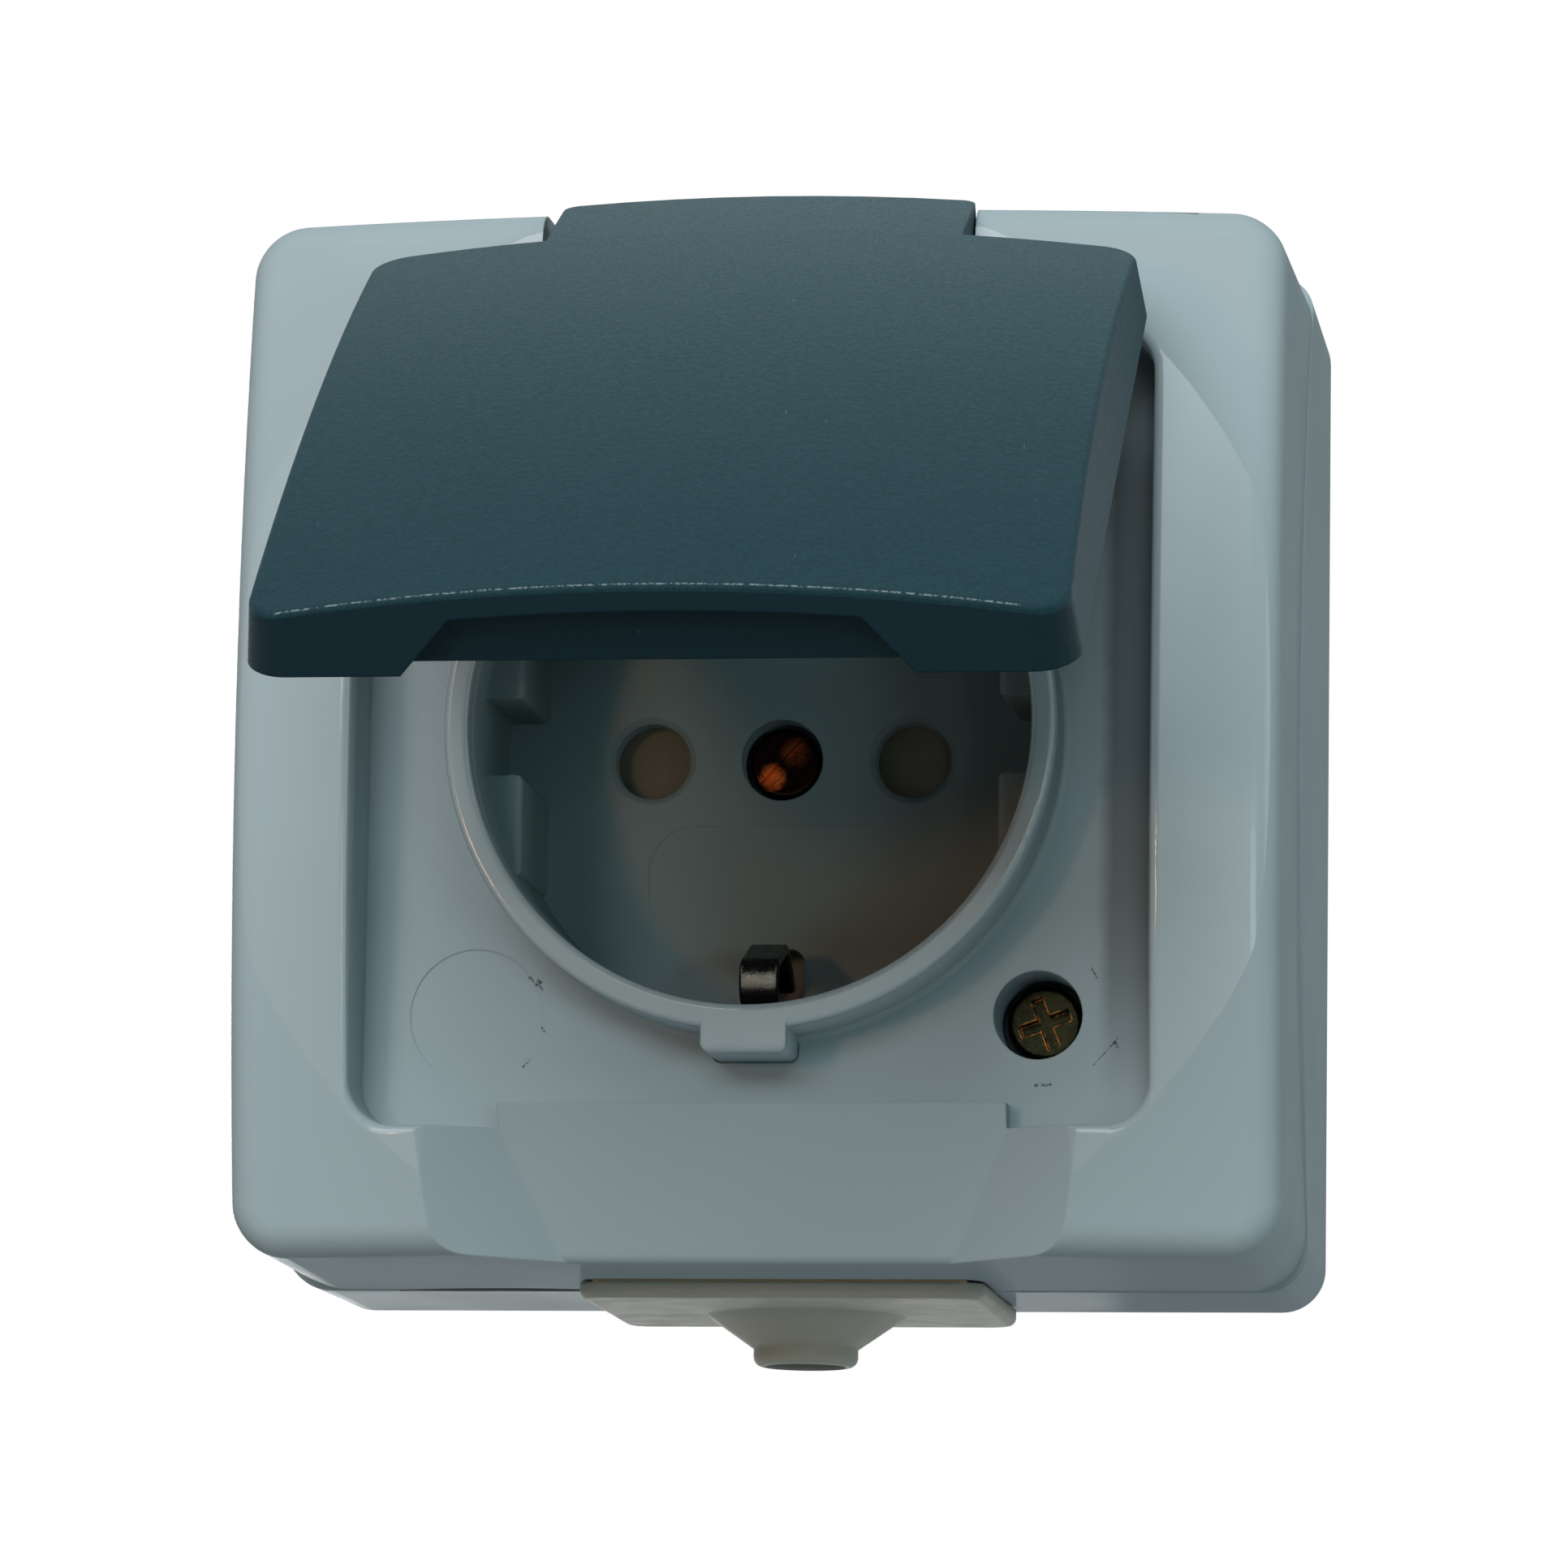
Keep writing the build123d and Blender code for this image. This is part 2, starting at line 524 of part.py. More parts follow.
def lid_pocket(grow=0.0):
    """The finger pocket in the lid's lip, which narrows towards the crown."""
    rim = LID_RIM_OUT - BEYOND
    slope = (POCKET_RIM_WIDTH - POCKET_TOP_WIDTH) / 2 / (LID_OUT - LID_WALL - LID_RIM_OUT)
    half_rim = POCKET_RIM_WIDTH / 2 + grow + slope * BEYOND
    half_top = POCKET_RIM_WIDTH / 2 + grow - slope * (LID_OUT - LID_RIM_OUT)
    face = upright(
        POCKET_BACK_Y + grow,
        (-half_rim, rim),
        (half_rim, rim),
        (half_top, LID_OUT),
        (-half_top, LID_OUT),
    )
    return extrude(face, -LID_BOTTOM_Y + POCKET_BACK_Y + BEYOND)


def make_lid():
    """Crowned lid with side walls, hinge tongue, finger pocket and seal seat, drawn closed."""
    outer_top = LID_SHOULDER_Y + (LID_OUT - LID_RIM_OUT) * math.tan(math.radians(LID_DRAFT)) / 2
    height = outer_top - LID_BOTTOM_Y
    centre_y = (outer_top + LID_BOTTOM_Y) / 2

    def plug(inset, base_out):
        base = RectangleRounded(LID_WIDTH - 2 * inset, height - 2 * inset, LID_CORNER_R - inset)
        return extrude(Pos(0, centre_y, base_out) * base, LID_OUT - base_out + 1, taper=LID_DRAFT)

    lid = plug(0, LID_RIM_OUT) & dome(LID_OUT)
    lid = fillet(lid.faces().sort_by(Axis.Z)[-1].edges(), LID_EDGE_R)
    under = dome(LID_OUT, LID_WALL)
    lid -= plug(LID_WALL, LID_RIM_OUT) & under

    # Near the hinge the shoulders are bare plate: the top wall stands further in.
    lid -= block(-HALF, HALF, LID_TOP_WALL_Y, HALF, 0, LID_OUT) & under
    inner_half = LID_WIDTH / 2 - LID_WALL
    top_wall = block(-inner_half, inner_half, LID_TOP_WALL_Y - LID_WALL, LID_TOP_WALL_Y, LID_RIM_OUT, LID_OUT)
    lid += top_wall & under

    # The finger pocket has its own back and side walls behind the notch in the lip.
    shell = lid_pocket(POCKET_WALL) & plug(0, LID_RIM_OUT) & under
    lid += shell
    lid -= lid_pocket() & under

    # The tongue runs up to the hinge and wraps round the pin.
    tongue_half = HINGE_NOTCH / 2 - TONGUE_GAP
    root_y = LID_TOP_WALL_Y - LID_WALL
    tongue = block(-tongue_half, tongue_half, root_y, TONGUE_TOP_Y, HINGE_OUT, LID_OUT) & dome(LID_OUT)
    hollow = block(-HALF, HALF, 0, HINGE_Y - HINGE_BARREL_R, 0, LID_OUT) & under
    tongue -= hollow
    top_corners = tongue.edges().filter_by(GeomType.CIRCLE, reverse=True).filter_by(Axis.Z)
    tongue = fillet(top_corners.group_by(Axis.Y)[-1], TONGUE_CORNER_R)
    tongue += cross_rod(HINGE_Y, HINGE_OUT, 2 * tongue_half, HINGE_BARREL_R)
    lid += tongue
    lid -= cross_rod(HINGE_Y, HINGE_OUT, HOUSING, HINGE_PIN_R + HINGE_RUNNING_FIT)

    # A round seat between two ribs holds the seal.
    land_in = SEAL_R - SEAL_WIDTH / 2 - SEAL_FIT
    land_out = SEAL_R + SEAL_WIDTH / 2 + SEAL_FIT
    rib_out = SEAL_SEAT_OUT - SEAL_RIB_DEPTH
    seat = rod(0, 0, rib_out, LID_OUT, land_out + SEAL_RIB) - rod(0, 0, rib_out, LID_OUT, land_in - SEAL_RIB)
    seat -= rod(0, 0, rib_out, SEAL_SEAT_OUT, land_out) - rod(0, 0, rib_out, SEAL_SEAT_OUT, land_in)
    lid += seat & dome(LID_OUT, LID_WALL / 2)
    return lid


def make_lid_seal():
    """Soft ring in the lid that closes on the collar's rim."""
    foot = RIM_OUT + SEAL_CLEARANCE
    outer = rod(0, 0, foot, SEAL_SEAT_OUT, SEAL_R + SEAL_WIDTH / 2)
    return outer - rod(0, 0, foot, SEAL_SEAT_OUT, SEAL_R - SEAL_WIDTH / 2)


def swung(piece):
    """A lid piece turned about the hinge to its angle at rest, and slid along the pin."""
    turned = piece.rotate(Axis((0, HINGE_Y, HINGE_OUT), (-1, 0, 0)), LID_OPEN_AT_REST)
    return Pos(LID_SLIDE, 0, 0) * turned


def make_hinge_pin():
    """Steel pin through the lid's tongue, held in both ends of the cover's notch."""
    return cross_rod(HINGE_Y, HINGE_OUT, HINGE_NOTCH + 2 * HINGE_PIN_SEAT, HINGE_PIN_R)


def leaf_path(side):
    """Middle line of one contact leaf, in X and distance out, from its root to its flared tip."""
    root = side * (LEAF_ROOT_GAP + STRIP) / 2
    pinch = side * (LEAF_PINCH + STRIP) / 2
    flare = side * (LEAF_FLARE_GAP + STRIP) / 2
    return Polyline(
        (root, CARRIER_BACK_OUT - STRIP / 2),
        (root, OVERSPRING_TOP_OUT),
        (pinch, LEAF_PINCH_OUT),
        (flare, LEAF_TOP_OUT),
    )


def make_contact(x, pad_x):
    """Two sprung leaves that grip one pin, with the strip that leads to a terminal."""
    leaves = []
    plane = Plane((x, LEAF_WIDTH / 2, 0), x_dir=(1, 0, 0), z_dir=(0, -1, 0))
    for side in (-1, 1):
        leaves.append(plane * trace(leaf_path(side), STRIP))
    contact = extrude(leaves[0], LEAF_WIDTH) + extrude(leaves[1], LEAF_WIDTH)
    foot_half = LEAF_ROOT_GAP / 2 + STRIP
    back = CARRIER_BACK_OUT - STRIP
    contact += block(x - foot_half, x + foot_half, -LEAF_WIDTH / 2, LEAF_WIDTH / 2, back, CARRIER_BACK_OUT)
    pad_low = TERMINAL_Y - TERMINAL_PAD / 2
    pad_left = pad_x - TERMINAL_PAD / 2
    contact += block(pad_left, pad_left + TERMINAL_PAD, pad_low, -LEAF_WIDTH / 2, back, CARRIER_BACK_OUT)
    return contact - rod(pad_x, TERMINAL_Y, back, CARRIER_BACK_OUT, TERMINAL_SCREW_R + TERMINAL_FIT)


def make_contact_springs():
    """Steel over-springs, one bent round the leaves of each contact."""
    outer = LEAF_ROOT_GAP / 2 + STRIP + OVERSPRING_GAP
    springs = []
    for x in (-PIN_SPACING / 2, PIN_SPACING / 2):
        shell = block(
            x - outer - OVERSPRING_THICK,
            x + outer + OVERSPRING_THICK,
            -LEAF_WIDTH / 2 - OVERSPRING_GAP - OVERSPRING_THICK,
            OVERSPRING_WIDTH / 2,
            OVERSPRING_FOOT_OUT,
            OVERSPRING_TOP_OUT,
        )
        inside = block(
            x - outer,
            x + outer,
            -LEAF_WIDTH / 2 - OVERSPRING_GAP,
            OVERSPRING_WIDTH,
            OVERSPRING_FOOT_OUT,
            OVERSPRING_TOP_OUT,
        )
        springs.append(shell - inside)
    return springs


def make_earth_bracket():
    """One bent strip: a run behind the carrier, two legs and the two sprung earth clips."""
    back = CARRIER_BACK_OUT - STRIP / 2
    half_path = [
        (0, back),
        (EARTH_LEG_Y, back),
        (EARTH_LEG_Y, EARTH_TOP_OUT),
        (EARTH_LEG_Y - 2 * EARTH_BEND_R - STRIP / 4, EARTH_TOP_OUT),
        (EARTH_BULGE_Y, EARTH_BULGE_OUT),
        (EARTH_TIP_Y, EARTH_TIP_OUT),
    ]
    side_plane = Plane((-EARTH_WIDTH / 2, 0, 0), x_dir=(0, 1, 0), z_dir=(1, 0, 0))
    half = extrude(side_plane * trace(FilletPolyline(*half_path, radius=EARTH_BEND_R), STRIP), EARTH_WIDTH)
    sides = half.faces().sort_by(Axis.X)
    half = fillet(sides[0].edges() + sides[-1].edges(), EARTH_EDGE_R)
    pad = TERMINAL_PAD / 2
    bracket = half + mirror(half, Plane.XZ)
    pad_low = TERMINAL_Y - pad
    bracket += block(-pad, pad, pad_low, TERMINAL_Y + pad, CARRIER_BACK_OUT - STRIP, CARRIER_BACK_OUT)
    screw_hole_r = TERMINAL_SCREW_R + TERMINAL_FIT
    return bracket - rod(0, TERMINAL_Y, CARRIER_BACK_OUT - STRIP, CARRIER_BACK_OUT, screw_hole_r)


def make_contact_carrier():
    """Insulating block that holds the contacts, the earth bracket and the shutter's spring."""
    carrier = square_prism(CARRIER_WIDTH, CARRIER_CORNER_R, CARRIER_BACK_OUT, CARRIER_FRONT_OUT)
    for x, y in COVER_SCREW_PLACES:
        carrier -= rod(x, y, 0, CROWN_OUT, COVER_BOSS_R + POST_GAP)
    for x, y in CARRIER_SCREW_PLACES:
        carrier -= rod(x, y, CARRIER_LUG_OUT, CARRIER_FRONT_OUT, CARRIER_SCREW_HEAD_R + COVER_SCREW_FIT)
        carrier -= rod(x, y, CARRIER_BACK_OUT, CARRIER_LUG_OUT, CARRIER_SCREW_R + COVER_SCREW_FIT)
    pocket_x = LEAF_FLARE_GAP / 2 + STRIP + LEAF_POCKET_MARGIN
    pocket_y = LEAF_WIDTH / 2 + LEAF_POCKET_MARGIN
    for x in (-PIN_SPACING / 2, PIN_SPACING / 2):
        carrier -= block(x - pocket_x, x + pocket_x, -pocket_y, pocket_y, 0, CROWN_OUT)
    leg_in = EARTH_LEG_Y - STRIP / 2 - EARTH_BEND_R
    leg_out = EARTH_LEG_Y + STRIP / 2 + EARTH_SLOT_FIT
    leg_x = EARTH_WIDTH / 2 + EARTH_SLOT_FIT
    for side in (-1, 1):
        y0, y1 = sorted((side * leg_in, side * leg_out))
        carrier -= block(-leg_x, leg_x, y0, y1, 0, CROWN_OUT)
    carrier -= rod(0, 0, SPRING_POCKET_OUT, CARRIER_FRONT_OUT, SPRING_POCKET_R)
    carrier += rod(0, 0, CARRIER_LUG_OUT, CENTRE_BOSS_OUT, CENTRE_BOSS_R)
    screw_end = CENTRE_BOSS_OUT - CENTRE_SCREW_REACH
    carrier -= rod(0, 0, screw_end, CENTRE_BOSS_OUT, CENTRE_SCREW_R + THREAD_FIT)
    for x, y in TERMINAL_PLACES:
        end = CARRIER_BACK_OUT + TERMINAL_REACH
        carrier -= rod(x, y, CARRIER_BACK_OUT, end, TERMINAL_SCREW_R + THREAD_FIT)
    return carrier


def make_shutter():
    """Turning shutter: a hub on the well's boss with one wing behind each pin hole."""
    back = WELL_BACK_OUT - SHUTTER_GAP - SHUTTER_THICK
    front = WELL_BACK_OUT - SHUTTER_GAP
    shutter = rod(0, 0, back, front, SHUTTER_HUB_R)
    disc = rod(0, 0, back, front, SHUTTER_REACH_R)
    far = 2 * SHUTTER_REACH_R
    spread = far * math.tan(math.radians(SHUTTER_COVER_ANGLE))
    for side in (-1, 1):
        wedge = Polygon((0, 0), (side * far, -side * spread), (side * far, side * spread), align=None)
        shutter += disc & Pos(0, 0, back) * extrude(wedge, SHUTTER_THICK)
    return shutter - rod(0, 0, back, front, CENTRE_BOSS_R + SHUTTER_FIT)


def make_shutter_spring():
    """Coil spring round the well's boss, in the carrier's pocket."""
    coil = Helix(SPRING_PITCH, SPRING_PITCH * SPRING_TURNS, SPRING_COIL_R)
    section = Plane(coil @ 0, x_dir=(1, 0, 0), z_dir=coil % 0) * Rectangle(SPRING_WIRE, SPRING_WIRE)
    spring = sweep(section, path=coil, is_frenet=True)
    return Pos(0, 0, SPRING_POCKET_OUT + SPRING_WIRE) * spring


def make_screw(x, y, seat, head_r, head, shank_r, reach, way, slots):
    """A cheese-head screw; its head lies on the seat, on the side given by way, with slots at angles."""
    screw = rod(0, 0, 0, head, head_r)
    screw = fillet(screw.edges().filter_by(GeomType.CIRCLE).sort_by(Axis.Z)[-1], head / 4)
    screw += rod(0, 0, -reach, 0, shank_r)
    reach_r = head_r if len(slots) == 1 else head_r * CROSS_REACH
    half = head_r * SLOT_WIDTH / 2
    for turn in slots:
        screw -= Rot(0, 0, turn) * block(-reach_r, reach_r, -half, half, head * SLOT_FLOOR, head)
    return Pos(x, y, seat) * Rot(0 if way > 0 else 180, 0, 0) * screw


def make_cover_screws():
    """The two sunk screws that hold the cover to the box."""
    seat = COVER_SCREW_SEAT_OUT + COVER_SCREW_SEAL
    post_top = COVER_BOSS_END_OUT - POST_GAP
    reach = seat - post_top + COVER_SCREW_REACH - SCREW_TIP_GAP
    screws = []
    for x, y in COVER_SCREW_PLACES:
        screws.append(
            make_screw(x, y, seat, COVER_SCREW_HEAD_R, COVER_SCREW_HEAD, COVER_SCREW_R, reach, 1, (20, 110))
        )
    return screws


def make_cover_screw_seals():
    """Soft washers under the heads of the cover screws."""
    seals = []
    for x, y in COVER_SCREW_PLACES:
        top = COVER_SCREW_SEAT_OUT + COVER_SCREW_SEAL
        ring = rod(x, y, COVER_SCREW_SEAT_OUT, top, COVER_SCREW_HEAD_R)
        seals.append(ring - rod(x, y, COVER_SCREW_SEAT_OUT, top, COVER_SCREW_R + SEAL_FIT))
    return seals


def make_carrier_screws():
    """The two screws that hold the carrier on the box's posts."""
    reach = CARRIER_LUG_OUT - CARRIER_BACK_OUT + CARRIER_SCREW_REACH
    screws = []
    for x, y in CARRIER_SCREW_PLACES:
        seat = CARRIER_LUG_OUT
        screws.append(
            make_screw(x, y, seat, CARRIER_SCREW_HEAD_R, CARRIER_SCREW_HEAD, CARRIER_SCREW_R, reach, 1, (0,))
        )
    return screws


def make_centre_screw():
    """The screw in the middle of the well, which draws the carrier to the cover."""
    reach = CENTRE_SEAT_OUT - CENTRE_BOSS_OUT + CENTRE_SCREW_REACH - SCREW_TIP_GAP
    return make_screw(0, 0, CENTRE_SEAT_OUT, CENTRE_HEAD_R, CENTRE_HEAD, CENTRE_SCREW_R, reach, 1, (48,))


def make_terminal_clamps():
    """Square clamp plates that press the wires on the contact strips."""
    top = CARRIER_BACK_OUT - STRIP
    half = CLAMP_SIZE / 2
    clamps = []
    for x, y in TERMINAL_PLACES:
        plate = block(x - half, x + half, y - half, y + half, top - CLAMP_THICK, top)
        clamps.append(plate - rod(x, y, top - CLAMP_THICK, top, TERMINAL_SCREW_R + TERMINAL_FIT))
    return clamps


def make_terminal_screws():
    """Terminal screws, driven from behind the carrier."""
    seat = CARRIER_BACK_OUT - STRIP - CLAMP_THICK
    reach = STRIP + CLAMP_THICK + TERMINAL_REACH - SCREW_TIP_GAP
    screws = []
    for x, y in TERMINAL_PLACES:
        screws.append(
            make_screw(x, y, seat, TERMINAL_HEAD_R, TERMINAL_HEAD, TERMINAL_SCREW_R, reach, -1, (0,))
        )
    return screws


def write(node, pieces):
    """Stand a node's solids up against the wall and write them as one file."""
    solids = []
    for piece in pieces if isinstance(pieces, list) else [pieces]:
        solids.extend((Rot(90, 0, 0) * piece).solids())
    shape = solids[0] if len(solids) == 1 else Compound(children=solids)
    export_step(shape, f"parts/{node}.step")


os.makedirs("parts", exist_ok=True)
write("rear_box", make_rear_box())
write("cable_grommet", make_cable_grommet())
write("box_seal", make_box_seal())
write("contact_carrier", make_contact_carrier())
write("live_contact", make_contact(-PIN_SPACING / 2, -TERMINAL_SPACING))
write("neutral_contact", make_contact(PIN_SPACING / 2, TERMINAL_SPACING))
write("contact_springs", make_contact_springs())
write("earth_bracket", make_earth_bracket())
write("terminal_clamps", make_terminal_clamps())
write("terminal_screws", make_terminal_screws())
write("carrier_screws", make_carrier_screws())
write("shutter_spring", make_shutter_spring())
write("shutter", make_shutter())
write("well_insert", make_well_insert())
write("front_cover", make_front_cover())
write("centre_screw", make_centre_screw())
write("cover_screw_seals", make_cover_screw_seals())
write("cover_screws", make_cover_screws())
write("hinge_pin", make_hinge_pin())
write("lid", swung(make_lid()))
write("lid_seal", swung(make_lid_seal()))
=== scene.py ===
import math

import bpy
from mathutils import Matrix, Vector


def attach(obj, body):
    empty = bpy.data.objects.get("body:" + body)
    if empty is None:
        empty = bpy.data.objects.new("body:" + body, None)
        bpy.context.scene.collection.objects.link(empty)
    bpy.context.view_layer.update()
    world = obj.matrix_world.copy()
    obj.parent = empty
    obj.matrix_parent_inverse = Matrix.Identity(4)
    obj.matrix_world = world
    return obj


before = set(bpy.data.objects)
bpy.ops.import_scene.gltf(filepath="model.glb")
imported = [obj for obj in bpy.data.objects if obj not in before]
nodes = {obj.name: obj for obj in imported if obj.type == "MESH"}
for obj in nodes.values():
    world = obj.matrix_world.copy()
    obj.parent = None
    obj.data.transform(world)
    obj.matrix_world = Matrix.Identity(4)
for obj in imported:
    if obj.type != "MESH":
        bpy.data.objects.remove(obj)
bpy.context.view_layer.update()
bpy.ops.object.select_all(action="DESELECT")


# Wall box, front cover and plug well.
# Injection-moulded in the same light grey plastic and screwed together: glossy faces with a faint flow
# ripple, soft edges from the mould, dust and dark rub marks left by a driver; painted light and shade in
# the well, a painted shadow along the recess's right wall and painted shade in the joint on the
# underside.
class Wire:
    """A value on its way through a finish; arithmetic on it adds the Math nodes."""

    def __init__(self, finish, socket):
        self.finish = finish
        self.socket = socket

    def math(self, operation, first, second=0.0):
        settings = {"operation": operation}
        return self.finish.node("ShaderNodeMath", settings, {0: first, 1: second})

    def __add__(self, other):
        return self.math("ADD", self, other)

    def __radd__(self, other):
        return self.math("ADD", other, self)

    def __sub__(self, other):
        return self.math("SUBTRACT", self, other)

    def __rsub__(self, other):
        return self.math("SUBTRACT", other, self)

    def __mul__(self, other):
        return self.math("MULTIPLY", self, other)

    def __rmul__(self, other):
        return self.math("MULTIPLY", other, self)

    def __gt__(self, other):
        return self.math("GREATER_THAN", self, other)

    def __lt__(self, other):
        return self.math("LESS_THAN", self, other)


class Finish:
    """A material of this socket, with the few steps that its finishes share."""

    def __init__(self, name, **constants):
        self.material = bpy.data.materials.new(name)
        self.material.use_nodes = True
        self.tree = self.material.node_tree
        self.show(**constants)
        self.place = self.node("ShaderNodeTexCoord", output="Object")

    def show(self, **looks):
        """Sets or links sockets of the shader, each named with _ for its spaces."""
        shader = self.tree.nodes["Principled BSDF"]
        for socket, value in looks.items():
            self.feed(shader.inputs[socket.replace("_", " ")], value)

    def node(self, kind, settings=(), inputs=(), output=0):
        made = self.tree.nodes.new(kind)
        for name, value in dict(settings).items():
            if name == "stops":
                ramp = made.color_ramp.elements
                while len(ramp) < len(value):
                    ramp.new(0.5)
                for element, (position, level) in zip(ramp, value):
                    element.position = position
                    element.color = (level, level, level, 1)
            else:
                setattr(made, name, value)
        for name, value in dict(inputs).items():
            self.feed(made.inputs[name], value)
        return Wire(self, made.outputs[output])

    def feed(self, socket, value):
        if isinstance(value, Wire):
            self.tree.links.new(value.socket, socket)
        else:
            socket.default_value = value

    def along(self, axis):
        return self.node("ShaderNodeSeparateXYZ", (), {0: self.place}, axis)

    def noise(self, per_metre, detail=3.0, roughness=0.55, place=None):
        inputs = {"Vector": place or self.place, "Scale": per_metre}
        inputs.update({"Detail": detail, "Roughness": roughness})
        return self.node("ShaderNodeTexNoise", {}, inputs)

    def ramp(self, value, *stops):
        return self.node("ShaderNodeValToRGB", {"stops": stops}, {"Fac": value})

    def mix(self, share, colour, other):
        settings = {"data_type": "RGBA"}
        return self.node("ShaderNodeMix", settings, {0: share, 6: colour, 7: other}, 2)

    def bump(self, height, depth, normal=None):
        inputs = {"Height": height, "Distance": depth, "Strength": 1.0}
        if normal:
            inputs["Normal"] = normal
        return self.node("ShaderNodeBump", {}, inputs)

    def soft_edge(self, radius):
        return self.node("ShaderNodeBevel", {"samples": 6}, {"Radius": radius})

    def edge_share(self, radius):
        """How far the surface is rounded off here: 0 on flats, more on sharp edges."""
        rounded = self.soft_edge(radius)
        plain = self.node("ShaderNodeNewGeometry", output="True Normal")
        settings = {"operation": "DOT_PRODUCT"}
        return 1 - self.node("ShaderNodeVectorMath", settings, {0: rounded, 1: plain}, "Value")

    def coat(self, *names):
        for name in names:
            slots = nodes[name].data.materials
            slots.clear()
            slots.append(self.material)


def colour(red, green, blue):
    """A colour read as 0 to 255 on a screen, as the shader's linear light."""
    def linear(value):
        value /= 255
        return value / 12.92 if value <= 0.04045 else ((value + 0.055) / 1.055) ** 2.4
    return (linear(red), linear(green), linear(blue), 1)


housing = Finish("light grey moulding", Specular_IOR_Level=0.0, Coat_Roughness=0.14)
across, inward, upward = housing.along("X"), housing.along("Y"), housing.along("Z")

specks = housing.ramp(housing.noise(2200, 2), (0.78, 0.0), (0.82, 0.35))
tone = housing.mix(housing.noise(26, 4), colour(156, 172, 177), colour(165, 180, 184))
tone = housing.mix(specks, tone, colour(96, 102, 102))

# painted light and shade: the well is made duller, and turns from a cool grey on the upper left, where a
# cool lamp lights it, to a warm one on the lower right, where a warm lamp does
rim_front, well_back, well_r = -0.0425, -0.027, 0.01999
off_axis = housing.node("ShaderNodeMath", {"operation": "SQRT"}, {0: across * across + upward * upward})
in_well = (inward > rim_front) * (inward < well_back) * (off_axis < well_r)
light_slope = across * 22 - upward * 12 + 0.5 + (housing.noise(90, 3) - 0.5) * 0.5
warm_light_share = housing.ramp(light_slope, (0.1, 0.0), (0.9, 1.0))
painted_well_light = housing.mix(warm_light_share, colour(118, 148, 149), colour(98, 92, 78))
tone = housing.mix(in_well * 0.5, tone, painted_well_light)


def stroke(x0, z0, x1, z1, width):
    """A rub mark on the recess floor from one point to another, frayed by noise: 1 on it, 0 off it."""
    length = math.hypot(x1 - x0, z1 - z0)
    run_x = (x1 - x0) / length
    run_z = (z1 - z0) / length
    off_x = across - x0
    off_z = upward - z0
    fray = (housing.noise(2200, 3) - 0.5) * 3.4
    along = (off_x * run_x + off_z * run_z) * (1 / length)
    aside = (off_x * run_z - off_z * run_x) * (1 / width) + fray
    inside = (aside > -1) * (aside < 1) * (along > 0) * (along < 1)
    return inside * housing.ramp(housing.noise(3200, 3), (0.4, 0.05), (0.55, 1.0))


rubs = (
    stroke(-0.0163, -0.0172, -0.0153, -0.0182, 0.00009)
    + stroke(-0.0157, -0.0174, -0.0154, -0.0177, 0.00016)
    + stroke(-0.01535, -0.0208, -0.0151, -0.0212, 0.00008)
    + stroke(-0.0166, -0.0237, -0.0160, -0.0230, 0.00007)
    + stroke(0.0237, -0.0166, 0.0242, -0.0175, 0.00006)
    + stroke(0.0239, -0.0236, 0.0257, -0.0216, 0.00004)
    + stroke(0.0254, -0.0219, 0.0257, -0.0224, 0.00009)
    + stroke(0.0198, -0.0250, 0.0210, -0.0249, 0.00010)
)
floor_front, floor_back = -0.0389, -0.0385
on_floor = (inward > floor_front) * (inward < floor_back)
tone = housing.mix(rubs * on_floor * 0.8, tone, colour(40, 43, 46))

# painted shadow along the foot of the recess's right wall, weaker towards the bottom
wall_x, shadow_front = 0.031, -0.0405
by_wall = across * 800 - 19.2 + (housing.noise(500, 3) - 0.5) * 0.4
at_foot = (across < wall_x) * (inward > shadow_front) * (inward < floor_back)
higher_up = housing.ramp(upward * 50 + 1.4, (0.1, 0.0), (0.55, 0.42), (1.0, 0.55))
wall_shadow = housing.ramp(by_wall, (0.1, 0.0), (0.95, 1.0)) * at_foot * higher_up
tone = housing.mix(wall_shadow, tone, colour(42, 52, 50))

# the joint between box and cover opens a little on the underside, in a shallow arch, and the face seen
# inside it is painted dark as shade
arch_x, arch_rise, arch_per_metre = -0.021, 0.00142, 130
joint_front, joint_back, underside = -0.0173, -0.0171, -0.0352
along_arch = (across - arch_x) * arch_per_metre
arch = arch_rise * (1 - along_arch * along_arch)
in_joint = (inward - joint_front + arch > 0) * (inward < joint_back) * (upward < underside)
tone = housing.mix(in_joint * 0.7, tone, colour(62, 76, 78))

frame_back = -0.0436
polish = (inward < frame_back) * 0.6
housing.show(
    Base_Color=tone,
    Roughness=housing.ramp(housing.noise(160, 5), (0.35, 0.25), (0.7, 0.4)),
    Coat_Weight=housing.ramp(housing.noise(120, 5), (0.3, 0.04), (0.7, 0.07)) + polish,
    Normal=housing.bump(housing.noise(1800, 3), 0.000006, housing.soft_edge(0.00025)),
)
housing.coat("rear_box", "front_cover", "well_insert")


# Cable grommet.
# A soft grey moulding: a flange that lies against the bottom of the housing, with a cone and a nozzle
# round the cable's way in. Its skin is matt, and a bead along its upper front edge has gathered dust.
grommet = Finish("soft grey grommet", Specular_IOR_Level=0.3)
grommet.show(
    Base_Color=grommet.mix(grommet.noise(220, 4), colour(152, 158, 150), colour(170, 168, 156)),
    Roughness=grommet.ramp(grommet.noise(500), (0.3, 0.5), (0.7, 0.65)),
    Normal=grommet.bump(grommet.noise(2500, 4), 0.00004, grommet.soft_edge(0.0004)),
)
grommet.coat("cable_grommet")

